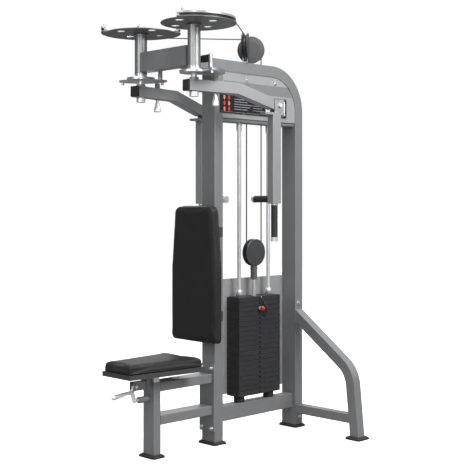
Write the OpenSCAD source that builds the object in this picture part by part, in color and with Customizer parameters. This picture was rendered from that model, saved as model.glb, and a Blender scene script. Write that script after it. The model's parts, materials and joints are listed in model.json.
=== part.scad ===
// Pec fly and rear delt machine with a selector weight stack.
// Origin: floor under the centre of the front upright. +Z up, -Y towards the seat, +X the right side.

/* [Frame] */
// Width of the main uprights and of the top beam
upright_w = 100; // [90:1:110]
// Depth of the main uprights and of the top beam
upright_d = 60; // [50:1:70]
// Wall thickness of every tube
wall = 3; // [2:0.5:4]
// Distance between the centres of the two uprights
upright_gap = 622; // [600:1:660]
// Height of the top face of the top beam
beam_top_z = 2008; // [1980:1:2040]
// Inner radius of the bend at the top of the rear upright
bend_r = 180; // [150:5:200]
// Thickness of the rubber feet
foot_h = 16; // [12:1:20]
// Width of the round-edged tube of the side leg
leg_w = 55; // [50:1:60]

/* [Pivots] */
// Half the distance between the two vertical arm pivots
pivot_x = 203; // [190:1:215]
// Distance from the front upright's centre forward to the pivots
pivot_y = 316; // [300:1:330]
// Diameter of the pivot housings
housing_d = 64; // [60:1:70]
// Diameter of the pivot shafts
shaft_d = 30; // [25:1:35]
// Radius at which the cable lies in the cam
cam_r = 197; // [190:1:200]
// Diameter of the cables
cable_d = 6; // [5:0.5:6]
// Angle that each arm leans outward from straight back when parked
arm_lean = 8.3; // [5:0.1:12]

/* [Arms] */
// Width of the square arm tube
arm_w = 55; // [50:1:58]
// Length of the arm from the pivot to its sloping end
arm_len = 478; // [460:1:490]
// Height of the arm tube's centre line at the pivot
arm_z = 1829.5; // [1825:0.5:1835]
// Width of the square handle tube
handle_w = 50; // [45:1:52]
// Height of the lower end of the handle tube
handle_low_z = 1254; // [1240:1:1280]
// Diameter of the rubber grips
grip_d = 35; // [32:1:38]

/* [Weight stack] */
// Number of plates, with the top plate
plate_count = 20; // [16:1:20]
// Spacing of the plates
plate_pitch = 26.5; // [25:0.1:26.5]
// Length of a plate
plate_l = 319; // [300:1:330]
// Width of a plate
plate_w = 92; // [88:1:96]
// Plates that hang on the selector pin, with the top plate
plates_lifted = 3; // [2:1:3]
// Diameter of the guide rods
rod_d = 20; // [18:1:24]

/* [Pulleys] */
// Radius of a pulley's flange
pulley_r = 73; // [70:1:75]
// Radius at which the cable lies in a pulley
groove_r = 57; // [56:1:58]
// Width of a pulley
pulley_w = 17; // [16:1:18]
// Width over the two shells of a pulley
shell_w = 37; // [36:1:38]

/* [Seat and back] */
// Height of the underside of the seat board at its lowest setting
seat_z = 414; // [405:1:430]
// Length of the seat board
seat_l = 440; // [415:1:445]
// Width of the seat board at its front edge
seat_front_w = 214; // [200:1:230]
// Width of the seat board at its rear edge
seat_rear_w = 302; // [290:1:330]
// Thickness of the seat cushion
cushion_h = 44; // [40:1:60]
// Width of the back pad
pad_w = 356; // [340:1:370]
// Width of the back pad at its top edge
pad_top_w = 300; // [280:1:320]
// Height of the back pad
pad_h = 708; // [690:1:725]
// Thickness of the back pad
pad_t = 46; // [40:1:55]

/* [Hidden] */
$fn = 48;
fit = 0.05;
gap = 0.3;
beam_z = beam_top_z - upright_d;
rear_y = upright_gap;
bend_out = bend_r + upright_d;
bend_y = rear_y + upright_d / 2 - bend_out;
bend_z = beam_top_z - bend_out;
cross_z = 1928;
cross_h = 99;
cross_d = 60;
housing_z = 1923;
housing_top = 2119;
bush_r = 25;
bush_h = 24;
bush_lip = 4;
cam_z = 2131;
cam_plate = 4;
cam_h = 27;
cam_flange_r = 205;
cam_cable_z = 2143;
cam_from = -67;
cam_to = 141;
sector_z = 1890;
sector_t = 12;
sector_r = 152;
hole_r = 128;
shaft_low = 1776;
nut_r = 23;
stop_r = 122;
stop_a = 95.1;
stop_d = 24;
stop_top = 1997;
slope = 15.5;
bend_s = 255;
lug_s = 522;
lug_z = 1761;
handle_s = 501;
handle_top = 1711;
grip_l = 128;
low_grip_l = 165;
cap_l = 16;
stack_y = 311;
stack_z = 224.5;
rod_gap = 113.5;
stack_top = stack_z + plate_count * plate_pitch;
lift_from = plate_count - plates_lifted;
plate_t = plate_pitch - 0.5;
pin_z = stack_z + lift_from * plate_pitch + plate_t / 2;
base_top = 190;
tie_z = 1687;
tie_h = 41;
float_z = 989;
upper_z = 2096;
post_y = -413;
post_d = 44;
post_w = 84;
post_top = 372;
seat_front_y = -638;
board_t = 23;
pad_z = 538;
pad_y = -119;
lever_y = -525;
lever_z = 362;
lock_z = 291;
lock_r = 16;
stop_y = -194;
leg_y = rear_y - 10;

// A box centred on X and Y, standing on its lowest face.
module post(size) {
    translate([-size[0] / 2, -size[1] / 2, 0]) cube(size);
}

// A round bar along X, starting at the given point.
module bar_x(at, d, l) {
    translate(at) rotate([0, 90, 0]) cylinder(d = d, h = l);
}

// A round bar along Y, starting at the given point.
module bar_y(at, d, l) {
    translate(at) rotate([-90, 0, 0]) cylinder(d = d, h = l);
}

// A rectangular outline with round corners.
module round_rect(w, d, r) {
    square([w - 2 * r, d], center = true);
    square([w, d - 2 * r], center = true);
    for (x = [-1, 1], y = [-1, 1])
        translate([x * (w / 2 - r), y * (d / 2 - r)]) circle(r = r);
}

// A square-cut hollow tube standing on its lower end.
module tube(w, d, h, r = 5) {
    linear_extrude(h) difference() {
        round_rect(w, d, r);
        round_rect(w - 2 * wall, d - 2 * wall, r - wall + 0.5);
    }
}

// A pie slice between two angles.
module slice(r, from, to) {
    steps = 12;
    step = (to - from) / steps;
    far = r / cos(step / 2);
    polygon(concat([[0, 0]], [for (i = [0:steps]) far * [cos(from + i * step), sin(from + i * step)]]));
}

// Draws its children on the right, or mirrored on the left.
module on_side(side) {
    mirror([side < 0 ? 1 : 0, 0, 0]) children();
}

module at_pivot(side) {
    on_side(side) translate([pivot_x, -pivot_y, 0]) children();
}

// The arm's own frame: X points outward and Y along the arm.
module at_arm(side) {
    at_pivot(side) rotate([0, 0, -arm_lean]) children();
}

// ---------- frame ----------

module front_upright() {
    color("#8c8e90") translate([0, 0, foot_h]) tube(upright_w, upright_d, beam_z - foot_h);
}

// Outline of the bent tube in the Y-Z plane, with a wall taken off each side.
module arch_outline(inset) {
    translate([rear_y - upright_d / 2 + inset, foot_h]) square([upright_d - 2 * inset, bend_z - foot_h]);
    translate([-pivot_y + cross_d / 2, beam_z + inset])
        square([bend_y + pivot_y - cross_d / 2, upright_d - 2 * inset]);
    translate([bend_y, bend_z]) intersection() {
        difference() {
            circle(r = bend_out - inset, $fn = 96);
            circle(r = bend_r + inset, $fn = 96);
        }
        square(bend_out + 1);
    }
}

module arch_solid(inset) {
    rotate([90, 0, 90]) translate([0, 0, -upright_w / 2 + inset])
        linear_extrude(upright_w - 2 * inset) arch_outline(inset);
}

module rear_arch() {
    color("#8c8e90") difference() {
        arch_solid(0);
        arch_solid(wall);
        for (side = [-1, 1])
            translate([0, stack_y + side * groove_r, beam_z - 1]) cylinder(d = 24, h = upright_d + 2);
    }
}

module cross_beam() {
    half = pivot_x - housing_d / 2 + 3;
    color("#8c8e90") difference() {
        union() {
            translate([-half, -pivot_y - cross_d / 2, cross_z]) cube([2 * half, cross_d, cross_h]);
            for (side = [-1, 1])
                at_pivot(side) translate([0, 0, housing_z])
                    cylinder(d = housing_d, h = housing_top - housing_z);
        }
        for (side = [-1, 1])
            at_pivot(side) translate([0, 0, housing_z - 1])
                cylinder(r = bush_r, h = housing_top - housing_z + 2);
        inner = pivot_x - housing_d / 2 - wall;
        translate([-inner, -pivot_y - cross_d / 2 + wall, cross_z + wall])
            cube([2 * inner, cross_d - 2 * wall, cross_h - 2 * wall]);
    }
}

module pivot_bush() {
    difference() {
        union() {
            cylinder(r = bush_r, h = bush_h);
            translate([0, 0, bush_h]) cylinder(d = housing_d + 6, h = bush_lip);
        }
        translate([0, 0, -1]) cylinder(r = shaft_d / 2 + fit, h = bush_h + bush_lip + 2);
    }
}

module pivot_bushes() {
    color("#c9cacc") for (side = [-1, 1]) at_pivot(side) {
        translate([0, 0, housing_top - bush_h]) pivot_bush();
        translate([0, 0, housing_z + bush_h]) mirror([0, 0, 1]) pivot_bush();
    }
}

module base_beam() {
    length = rear_y - upright_d;
    color("#808284") translate([0, upright_d / 2, base_top - 40]) rotate([-90, 0, 0]) tube(60, 80, length);
}

// The seat's outer tube, with the channel that carries the lever and the lock pin's sleeve.
module seat_post() {
    front = post_y - post_d / 2;
    length = front - lever_y + 16;
    color("#808284") difference() {
        union() {
            translate([0, post_y, foot_h]) tube(post_w, post_d, post_top - foot_h, 4);
            for (x = [-16, 12]) translate([x, lever_y - 16, lever_z - 20]) cube([4, length, 42]);
            translate([-16, lever_y - 4, lever_z + 18]) cube([32, length - 12, 4]);
            translate([0, front - 14, lever_z - 22]) post([44, 28, 50]);
            bar_y([0, front - 64, lock_z], 2 * lock_r, 64);
        }
        bar_x([-20, lever_y, lever_z], 12, 40);
        bar_y([0, front - 66, lock_z], 12.2, 66 + wall + 1);
    }
}

module seat_beams() {
    from = post_y + post_d / 2;
    plate_y = -upright_d / 2 - 12;
    color("#808284") {
        for (z = [183.5, 348.5])
            translate([0, from, z]) rotate([-90, 0, 0]) tube(post_w, 47, plate_y - from, 4);
        translate([-54, plate_y, 70]) cube([108, 12, 348]);
    }
}

// Its far end is cut to the slope of the side leg.
module stabiliser_beam() {
    color("#808284") difference() {
        union() {
            translate([upright_w / 2, rear_y - 5, 105]) rotate([90, 0, 90]) tube(50, 50, 401);
            translate([upright_w / 2, rear_y - 29, 42]) cube([8, 50, 96]);
        }
        translate([0, leg_y + leg_w, 0]) rotate([90, 0, 0]) linear_extrude(2 * leg_w) leg_outline(leg_w / 2);
    }
}

// Outline of the side leg in the X-Z plane: a sloping run, a bend and a steep run.
module leg_outline(half) {
    top = [upright_w / 2, 634];
    knee = [440, 357];
    foot = [476, foot_h];
    bend = 70;
    in_dir = (knee - top) / norm(knee - top);
    out_dir = (foot - knee) / norm(foot - knee);
    half_turn = acos(in_dir * out_dir) / 2;
    centre_r = bend / tan(half_turn);
    start = knee - bend * in_dir;
    normal = [in_dir[1], -in_dir[0]];
    centre = start + centre_r * normal;
    a0 = atan2(-normal[1], -normal[0]);
    arc = [for (i = [0:8]) a0 - i / 8 * 2 * half_turn];
    outer = [for (a = arc) centre + (centre_r + half) * [cos(a), sin(a)]];
    inner = [for (i = [8:-1:0]) centre + (centre_r - half) * [cos(arc[i]), sin(arc[i])]];
    rise = half / in_dir[0];
    run = half / -out_dir[1];
    polygon(concat([top + [0, rise]], outer, [foot + [run, 0], foot - [run, 0]], inner, [top - [0, rise]]));
}

module side_leg() {
    color("#808284") {
        translate([0, leg_y + leg_w / 2, 0]) rotate([90, 0, 0]) difference() {
            linear_extrude(leg_w) leg_outline(leg_w / 2);
            translate([0, 0, wall]) linear_extrude(leg_w - 2 * wall) leg_outline(leg_w / 2 - wall);
        }
        translate([upright_w / 2, leg_y - 29, 580]) cube([8, 58, 140]);
    }
}

module bolt_y(at, d = 20) {
    bar_y(at - [0, 9, 0], d, 9);
    bar_y(at - [0, 11, 0], d / 2, 3);
}

module frame_bolts() {
    plate_face = -upright_d / 2 - 12;
    color("#c9cacc") {
        for (x = [-36, 36], z = [88, 400]) bolt_y([x, plate_face, z]);
        for (y = [210, 430]) bar_x([upright_w / 2 - 3 + gap, y, 1912], 16, 5);
        bar_x([upright_w / 2 + 8, leg_y, 697], 20, 8);
        bar_x([upright_w / 2 + 8, rear_y - 5, 60], 20, 8);
    }
}

// A flared foot cap around the end of a tube.
module foot(w, d) {
    flare = 15;
    hull() {
        linear_extrude(8) round_rect(w + 2 * flare, d + 2 * flare, 12, $fn = 32);
        linear_extrude(foot_h) round_rect(w + 8, d + 8, 6, $fn = 32);
    }
}

module rubber_feet() {
    color("#1c1c1d") {
        foot(upright_w, upright_d);
        translate([0, rear_y, 0]) foot(upright_w, upright_d);
        translate([0, post_y, 0]) foot(post_w + 6, post_d + 6);
        translate([476, leg_y, 0]) foot(leg_w + 12, leg_w + 12);
    }
}

// Buffers on the sides of the top beam that the stop posts park against.
module stop_bumpers() {
    reach = pivot_x + stop_r * cos(stop_a) - stop_d / 2 - gap;
    color("#1c1c1d") for (side = [-1, 1]) on_side(side) {
        bar_x([upright_w / 2, stop_y, beam_z + 30], 34, reach - 46 - upright_w / 2);
        bar_x([reach - 46, stop_y, beam_z + 30], 38, 46);
    }
}

// ---------- stack frame ----------

module rod_tie() {
    length = rear_y - upright_d;
    color("#8c8e90") difference() {
        translate([0, upright_d / 2, tie_z + tie_h / 2]) rotate([-90, 0, 0]) tube(80, tie_h, length, 4);
        for (side = [-1, 1]) {
            translate([0, stack_y + side * rod_gap, tie_z - 1]) cylinder(d = rod_d, h = tie_h + 2);
            translate([0, stack_y + side * groove_r, tie_z - 1]) cylinder(d = 24, h = tie_h + 2);
        }
    }
}

module guide_rods() {
    color("#e4e5e7") for (side = [-1, 1]) translate([0, stack_y + side * rod_gap, 0]) {
        translate([0, 0, base_top]) cylinder(d = rod_d, h = tie_z + tie_h - base_top);
        translate([0, 0, tie_z - 40]) cylinder(d = 30, h = 40);
    }
}

module stack_bumpers() {
    color("#1c1c1d") for (side = [-1, 1]) translate([0, stack_y + side * rod_gap, base_top])
        difference() {
            cylinder(d = 58, h = stack_z - base_top);
            translate([0, 0, -1]) cylinder(d = rod_d, h = stack_z - base_top + 2);
        }
}

// One weight plate with chamfered long edges, its rod holes, stem hole and pin hole.
module plate(level) {
    c = 2;
    w = plate_w / 2;
    translate([0, stack_y, stack_z + level * plate_pitch]) difference() {
        translate([0, plate_l / 2, 0]) rotate([90, 0, 0]) linear_extrude(plate_l)
            polygon([[c - w, 0], [w - c, 0], [w, c], [w, plate_t - c],
                     [w - c, plate_t], [c - w, plate_t], [-w, plate_t - c], [-w, c]]);
        translate([0, 0, -1]) cylinder(d = 27, h = plate_t + 2);
        for (side = [-1, 1])
            translate([0, side * rod_gap, -1]) cylinder(d = rod_d + 1, h = plate_t + 2);
        bar_x([-w - 1, 0, plate_t / 2], 10.6, plate_w + 2);
    }
}

module resting_plates() {
    color("#3a3a3c") for (level = [0:lift_from - 1]) plate(level);
}

// Sheets on both sides of the pulley space, and the guard behind the stack.
module cover_sheets() {
    low = tie_z + 18;
    color("#a6a8aa") {
        for (side = [-1, 1]) on_side(side)
            translate([upright_w / 2 - 6, 0, 0]) rotate([90, 0, 90]) linear_extrude(3)
                intersection() {
                    translate([upright_d / 2, low]) square([bend_out + bend_y, beam_z - low]);
                    union() {
                        translate([0, low]) square([rear_y - upright_d / 2, bend_z - low]);
                        translate([0, low]) square([bend_y, beam_z - low]);
                        translate([bend_y, bend_z]) circle(r = bend_r, $fn = 96);
                    }
                }
        translate([-upright_w / 2, upright_d / 2, 232]) cube([3, rear_y - upright_d, 619]);
    }
}

module placard() {
    color("#161617") translate([upright_w / 2 + gap, 4, 1731]) cube([3, 512, 101]);
}

// ---------- seat and back ----------

// Board behind the back pad, on two clamps that wrap around the front upright.
module pad_frame() {
    board_y = pad_y + pad_t / 2;
    clamp_w = upright_w + 8;
    color("#3a3b3d") {
        translate([0, board_y + 5, pad_z + pad_h / 2]) cube([150, 10, pad_h - 120], center = true);
        for (z = [643, 1081]) {
            translate([-30, board_y + 10, z]) cube([60, -upright_d / 2 - board_y - 12, 50]);
            difference() {
                translate([-clamp_w / 2, -upright_d / 2 - 4, z]) cube([clamp_w, upright_d - 2, 50]);
                translate([-upright_w / 2 - 0.3, -upright_d / 2, z - 1])
                    cube([upright_w + 0.6, upright_d + 10, 52]);
            }
        }
    }
}

// Half the pad's outline, from the bottom middle up to the top middle.
function pad_side(s) = [
    [s * (pad_w / 2 - 28), 0], [s * (pad_w / 2 - 8), 8], [s * pad_w / 2, 28], [s * pad_w / 2, 380],
    [s * (pad_top_w / 2 + 10), pad_h - 60], [s * (pad_top_w / 2 - 8), pad_h - 18],
    [s * (pad_top_w / 2 - 40), pad_h]
];

module back_pad() {
    right = pad_side(1);
    left = pad_side(-1);
    color("#242425") translate([0, pad_y + pad_t / 2, pad_z]) rotate([90, 0, 0])
        linear_extrude(pad_t) polygon(concat(right, [for (i = [len(left) - 1:-1:0]) left[i]]));
}

// The seat's tapered outline, taken in by an inset on every side.
module seat_outline(inset) {
    front = seat_front_w / 2 - inset;
    rear = seat_rear_w / 2 - inset;
    polygon([[-front, seat_front_y + inset], [front, seat_front_y + inset],
             [rear, seat_front_y + seat_l - inset], [-rear, seat_front_y + seat_l - inset]]);
}

module seat_board() {
    color("#333335") translate([0, 0, seat_z]) linear_extrude(board_t) seat_outline(0);
}

module seat_cushion() {
    color("#242425") translate([0, 0, seat_z + board_t + gap]) linear_extrude(cushion_h) seat_outline(4);
}

// Inner tube of the seat, with a row of lock holes and a top plate under the board.
module seat_tube() {
    w = post_w - 2 * wall - 1.2;
    d = post_d - 2 * wall - 1.2;
    low = 140;
    color("#b9bbbd") difference() {
        union() {
            translate([0, post_y, low]) tube(w, d, seat_z - low - 6, 4);
            translate([0, post_y, seat_z - 6 - gap]) post([120, 200, 6]);
        }
        for (i = [0:5]) bar_y([0, post_y - d / 2 - 1, lock_z - i * 25], 12, wall + 2);
    }
}

module seat_lever() {
    color("#d8d9db") difference() {
        union() {
            translate([-5, lever_y - 12, lock_z - 10]) cube([10, 24, lever_z - lock_z + 22]);
            translate([-5, lever_y - 50, lever_z - 36]) cube([10, 45, 18]);
            bar_x([-17, lever_y, lever_z], 11.9, 34);
            for (x = [-23, 17]) bar_x([x, lever_y, lever_z], 20, 6);
        }
        bar_y([0, lever_y - 20, lock_z], 8, 50);
    }
    color("#1c1c1d") translate([0, lever_y - 48, lever_z - 27]) rotate([78, 0, 0])
        cylinder(r1 = 11, r2 = 14, h = 92);
}

// The spring pin that holds the seat tube, with the eye that the lever pulls.
module lock_pin() {
    front = post_y - post_d / 2;
    color("#d8d9db") {
        bar_y([0, front - 74, lock_z], 12, 74 + wall);
        bar_y([0, lever_y + 14, lock_z], 18, front - 74 - lever_y - 14);
    }
}

// ---------- arms ----------

// Cam outline: an off-centre disc with a concentric part where the cable winds.
module cam_outline() {
    translate([16, 16]) circle(r = 186, $fn = 96);
    intersection() {
        circle(r = cam_flange_r, $fn = 96);
        slice(cam_flange_r + 20, cam_from, cam_to);
    }
}

module cam_ring(r_in, r_out, z0, z1) {
    translate([0, 0, z0]) linear_extrude(z1 - z0) intersection() {
        difference() {
            circle(r = r_out, $fn = 96);
            circle(r = r_in, $fn = 96);
        }
        slice(cam_flange_r + 20, cam_from, cam_to);
    }
}

module cam_disc(side) {
    groove = cable_d / 2 + gap;
    color("#9b9da0") at_pivot(side) difference() {
        union() {
            translate([0, 0, cam_z]) linear_extrude(cam_plate) cam_outline();
            cam_ring(182, cam_r - groove, cam_z, cam_z + cam_h);
            cam_ring(182, cam_flange_r, cam_cable_z + 5, cam_z + cam_h);
            translate([0, 0, cam_z - 7]) cylinder(d = 74, h = cam_h + 4);
            for (a = [cam_from + 8, cam_to - 6])
                rotate([0, 0, a]) translate([188, 0, cam_z + cam_h]) cylinder(d = 13, h = 14);
        }
        translate([0, 0, cam_z - 10]) cylinder(d = shaft_d, h = cam_h + 20);
        for (i = [0:3]) rotate([0, 0, 10 + 90 * i]) translate([115, 0, cam_z - 1]) cylinder(d = 46, h = 12);
    }
}

module cam_shaft(side) {
    color("#d8d9db") at_pivot(side) {
        translate([0, 0, shaft_low]) cylinder(d = shaft_d, h = 2168 - shaft_low);
        translate([0, 0, shaft_low]) cylinder(r = nut_r, h = 21.7);
        translate([0, 0, 2155]) cylinder(r = nut_r, h = 14, $fn = 6);
        translate([0, 0, 2169]) cylinder(d = 22, h = 12);
        translate([0, 0, sector_z + sector_t]) difference() {
            cylinder(d = 60, h = housing_z - bush_lip - sector_z - sector_t - gap);
            translate([0, 0, -1]) cylinder(d = shaft_d, h = 40);
        }
    }
}

module sector(side) {
    color("#cfd0d2") at_pivot(side) {
        difference() {
            translate([0, 0, sector_z]) linear_extrude(sector_t) {
                circle(r = 72, $fn = 64);
                intersection() {
                    circle(r = sector_r, $fn = 96);
                    slice(sector_r + 20, -9, 103);
                }
            }
            translate([0, 0, sector_z - 1]) cylinder(d = shaft_d, h = sector_t + 2);
            for (i = [0:6]) rotate([0, 0, 90 - arm_lean - i * 12])
                translate([hole_r, 0, sector_z - 1]) cylinder(d = 13, h = sector_t + 2);
        }
        rotate([0, 0, stop_a]) translate([stop_r, 0, sector_z + sector_t])
            cylinder(d = stop_d, h = stop_top - sector_z - sector_t);
        for (a = [-4, 94]) rotate([0, 0, a]) translate([138, 0, sector_z - 14]) cylinder(d = 14, h = 14);
    }
}

// The turns of cable that lie in the cam's groove.
module cam_cable(side) {
    color("#2a2a2b") at_pivot(side) translate([0, 0, cam_cable_z]) rotate([0, 0, cam_from + 4])
        rotate_extrude(angle = cam_to - cam_from - 8, $fn = 96)
            translate([cam_r, 0]) circle(d = cable_d, $fn = 16);
}

// Side outline of the arm along its own length.
module arm_outline(half, from, to) {
    lean = tan(slope);
    drop = lean * (to - bend_s);
    shift = half * tan(slope / 2);
    rise = half / cos(slope);
    polygon([[from, arm_z - half], [bend_s - shift, arm_z - half], [to, arm_z - drop - rise],
             [to, arm_z - drop + rise], [bend_s + shift, arm_z + half], [from, arm_z + half]]);
}

module arm(side) {
    color("#a6a8aa") at_arm(side) difference() {
        union() {
            rotate([90, 0, 90]) translate([0, 0, -arm_w / 2]) difference() {
                linear_extrude(arm_w) arm_outline(arm_w / 2, -42, arm_len);
                translate([0, 0, wall]) linear_extrude(arm_w - 2 * wall)
                    arm_outline(arm_w / 2 - wall, -46, arm_len - wall);
            }
            translate([0, 0, arm_z - arm_w / 2 - 4]) cylinder(d = 46, h = arm_w + 16);
            translate([0, hole_r, arm_z - arm_w / 2 - 2])
                cylinder(d = 27, h = sector_z - 4 - arm_z + arm_w / 2);
            translate([-11, arm_len - 6, lug_z - 16]) cube([22, lug_s - arm_len + 6, 32]);
            bar_x([-11, lug_s, lug_z], 32, 22);
        }
        translate([0, 0, arm_z - 60]) cylinder(r = shaft_d / 2 + fit, h = 120);
        translate([0, hole_r, arm_z - 60]) cylinder(r = 7 + fit, h = 120);
        bar_x([-12, lug_s, lug_z], 16 + 2 * fit, 24);
    }
}

module arm_cap(side) {
    color("#232324") at_arm(side) translate([0, -42, arm_z]) rotate([90, 0, 0]) {
        linear_extrude(7) round_rect(arm_w, arm_w, 6);
        translate([0, 0, 7]) linear_extrude(2) round_rect(arm_w - 6, arm_w - 6, 5);
    }
}

module pull_pin(side) {
    color("#d8d9db") at_arm(side) translate([0, hole_r, 0]) {
        translate([0, 0, 1796]) cylinder(d = 14, h = sector_z - 1796 - 2 * fit);
        translate([0, 0, 1736]) rotate_extrude()
            polygon([[0, 0], [16, 0], [18, 4], [17, 20], [12, 38], [8.5, 50], [8.5, 62], [0, 62]]);
    }
}

// Yoke that hangs on the arm's lug, with the square tube that carries both grips.
module handle(side) {
    color("#a6a8aa") at_arm(side) {
        for (x = [-1, 1]) difference() {
            translate([x * 16 - 4, 488, handle_top]) cube([8, 60, 81]);
            bar_x([x * 16 - 5, lug_s, lug_z], 16, 10);
        }
        translate([-24, 424, handle_top]) cube([48, 124, 12]);
        translate([0, handle_s, handle_low_z]) tube(handle_w, handle_w + 4, handle_top - handle_low_z);
        translate([0, handle_s, handle_low_z]) difference() {
            post([handle_w - 2 * wall, handle_w + 4 - 2 * wall, 8]);
            translate([0, 0, -1]) cylinder(d = 20, h = 10);
        }
    }
}

// Pivot bolt of the handle, the steel cores of the grips and their end caps.
module grip_caps(side) {
    inner = handle_w / 2;
    color("#d8d9db") at_arm(side) {
        bar_x([-26, lug_s, lug_z], 16, 52);
        for (x = [-30, 20]) bar_x([x, lug_s, lug_z], 20, 10);
        translate([-inner, handle_s, 1278]) rotate([0, -90, 0]) {
            cylinder(d = 20, h = grip_l + 8);
            cylinder(d = grip_d + 3, h = 6);
            translate([0, 0, 6 + grip_l]) cylinder(d = grip_d + 3, h = cap_l);
        }
        translate([0, handle_s, handle_low_z]) rotate([180, 0, 0]) {
            translate([0, 0, -8]) cylinder(d = 20, h = low_grip_l + 16);
            cylinder(d = grip_d + 1, h = 8);
            translate([0, 0, 8 + low_grip_l]) cylinder(d = grip_d + 1, h = cap_l + 6);
        }
    }
}

module grip(l) {
    difference() {
        cylinder(d = grip_d, h = l);
        translate([0, 0, -1]) cylinder(d = 20, h = l + 2);
    }
}

module grips(side) {
    color("#1c1c1d") at_arm(side) {
        translate([-handle_w / 2 - 6, handle_s, 1278]) rotate([0, -90, 0]) grip(grip_l);
        translate([0, handle_s, handle_low_z - 8]) rotate([180, 0, 0]) grip(low_grip_l);
    }
}

// ---------- cables and pulleys ----------

// Point over the stack where the cable of one side drops, and the plan angle of its run to the cam.
function drop_y(side) = stack_y - side * groove_r;
function run_len(side) = norm([pivot_x, pivot_y + drop_y(side)]);
function run_a(side) = atan2(pivot_x, pivot_y + drop_y(side)) + asin(cam_r / run_len(side));

// Frame with its origin on the drop line and +Y pointing back along the cable's run.
module at_drop(side) {
    on_side(side) translate([0, drop_y(side), 0]) rotate([0, 0, run_a(side)]) children();
}

module pulley() {
    w = pulley_w / 2;
    g = groove_r - cable_d / 2 - gap;
    rotate([0, 90, 0]) rotate_extrude($fn = 96)
        polygon([[8 + fit, -w], [24, -w], [28, 2 - w], [g - 4, 2 - w], [g, -w], [pulley_r - 9, -w],
                 [pulley_r - 7, 2 - w], [g, -4], [g, 4], [pulley_r - 7, w - 2], [pulley_r - 9, w],
                 [g, w], [g - 4, w - 2], [28, w - 2], [24, w], [8 + fit, w]]);
}

// The two domed shells that close a pulley's fork on both sides.
module shells() {
    w = shell_w / 2;
    for (side = [-1, 1]) rotate([0, side * 90, 0]) rotate_extrude($fn = 96)
        polygon([[0, w - 5.5], [pulley_r, w - 5.5], [pulley_r, w - 3], [pulley_r - 3, w - 1.2],
                 [pulley_r * 0.6, w], [0, w]]);
}

module upper_pulley(side) {
    color("#3a3a3c") at_drop(side) translate([0, -groove_r, upper_z]) pulley();
}

module pulley_brackets() {
    arm_x = pulley_w / 2 + 1.2;
    color("#c4c6c8") for (side = [-1, 1]) at_drop(side) translate([0, -groove_r, 0]) {
        translate([0, 0, beam_top_z]) post([2 * arm_x + 6, 40, 5]);
        for (x = [-arm_x - 3, arm_x]) difference() {
            union() {
                translate([x, -15, beam_top_z]) cube([3, 30, upper_z - beam_top_z]);
                bar_x([x, 0, upper_z], 30, 3);
            }
            bar_x([x - 1, 0, upper_z], 16, 5);
        }
        bar_x([-arm_x - 3, 0, upper_z], 16, 2 * arm_x + 6);
    }
}

module pulley_shells() {
    color("#3a3a3c") for (side = [-1, 1]) at_drop(side) translate([0, -groove_r, upper_z]) shells();
}

module yoke_shells() {
    color("#3a3a3c") translate([0, stack_y, float_z]) shells();
}

// The straight run from near the cam and the quarter turn over the upper pulley.
module upper_cables() {
    color("#2a2a2b") for (side = [-1, 1]) {
        straight = sqrt(pow(run_len(side), 2) - pow(cam_r, 2)) - groove_r - 52;
        fall = upper_z + groove_r - cam_cable_z;
        at_drop(side) translate([0, -groove_r, upper_z]) {
            translate([0, 0, groove_r]) rotate([90 + atan(fall / (straight + 52)), 0, 0])
                cylinder(d = cable_d, h = straight, $fn = 16);
            rotate([90, 0, 90]) rotate_extrude(angle = 90, $fn = 96)
                translate([groove_r, 0]) circle(d = cable_d, $fn = 16);
        }
    }
}

module cable_drops() {
    color("#2a2a2b") for (side = [-1, 1]) translate([0, drop_y(side), float_z])
        cylinder(d = cable_d, h = upper_z - float_z, $fn = 16);
}

module cable_loop() {
    color("#2a2a2b") translate([0, stack_y, float_z]) rotate([90, 0, 90]) rotate([0, 0, 180])
        rotate_extrude(angle = 180, $fn = 96) translate([groove_r, 0]) circle(d = cable_d, $fn = 16);
}

module floating_pulley() {
    color("#3a3a3c") translate([0, stack_y, float_z]) pulley();
}

// Fork around the floating pulley, its axle, and the threaded stem down to the top plate.
module pulley_yoke() {
    arm_x = pulley_w / 2 + 1.2;
    low = 898;
    color("#c9cacc") translate([0, stack_y, 0]) {
        for (x = [-arm_x - 3, arm_x]) {
            translate([x, -13, low]) cube([3, 26, float_z - low]);
            bar_x([x, 0, float_z], 26, 3);
        }
        translate([-arm_x - 3, -16, low]) cube([2 * arm_x + 6, 32, 8]);
        bar_x([-arm_x - 3, 0, float_z], 16, 2 * arm_x + 6);
        translate([0, 0, stack_top - 0.5]) cylinder(d = 12, h = low - stack_top + 1);
        translate([0, 0, low - 55]) post([26, 26, 56]);
        for (i = [0:2]) translate([0, 0, stack_top + 53 + 11 * i]) cylinder(d = 19, h = 7);
        translate([0, 0, stack_top - 0.5]) cylinder(r = 11, h = 48, $fn = 6);
    }
}

// ---------- moving weights ----------

module top_plate() {
    color("#3a3a3c") difference() {
        union() {
            plate(plate_count - 1);
            for (side = [-1, 1])
                translate([0, stack_y + side * rod_gap, stack_top - 1]) cylinder(d = 30, h = 34);
        }
        for (side = [-1, 1])
            translate([0, stack_y + side * rod_gap, stack_top - 30])
                cylinder(r = rod_d / 2 + 2 * fit, h = 70);
    }
}

module lifted_plates() {
    color("#3a3a3c") for (level = [lift_from:plate_count - 2]) plate(level);
}

// Bar with a hole for the pin at each plate, hanging from the top plate.
module selector_stem() {
    low = stack_z + 4;
    color("#d8d9db") difference() {
        translate([0, stack_y, low]) cylinder(d = 25, h = stack_top - low - 0.5);
        for (level = [0:plate_count - 1])
            bar_x([-20, stack_y, stack_z + level * plate_pitch + plate_t / 2], 10.4, 40);
    }
}

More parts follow.
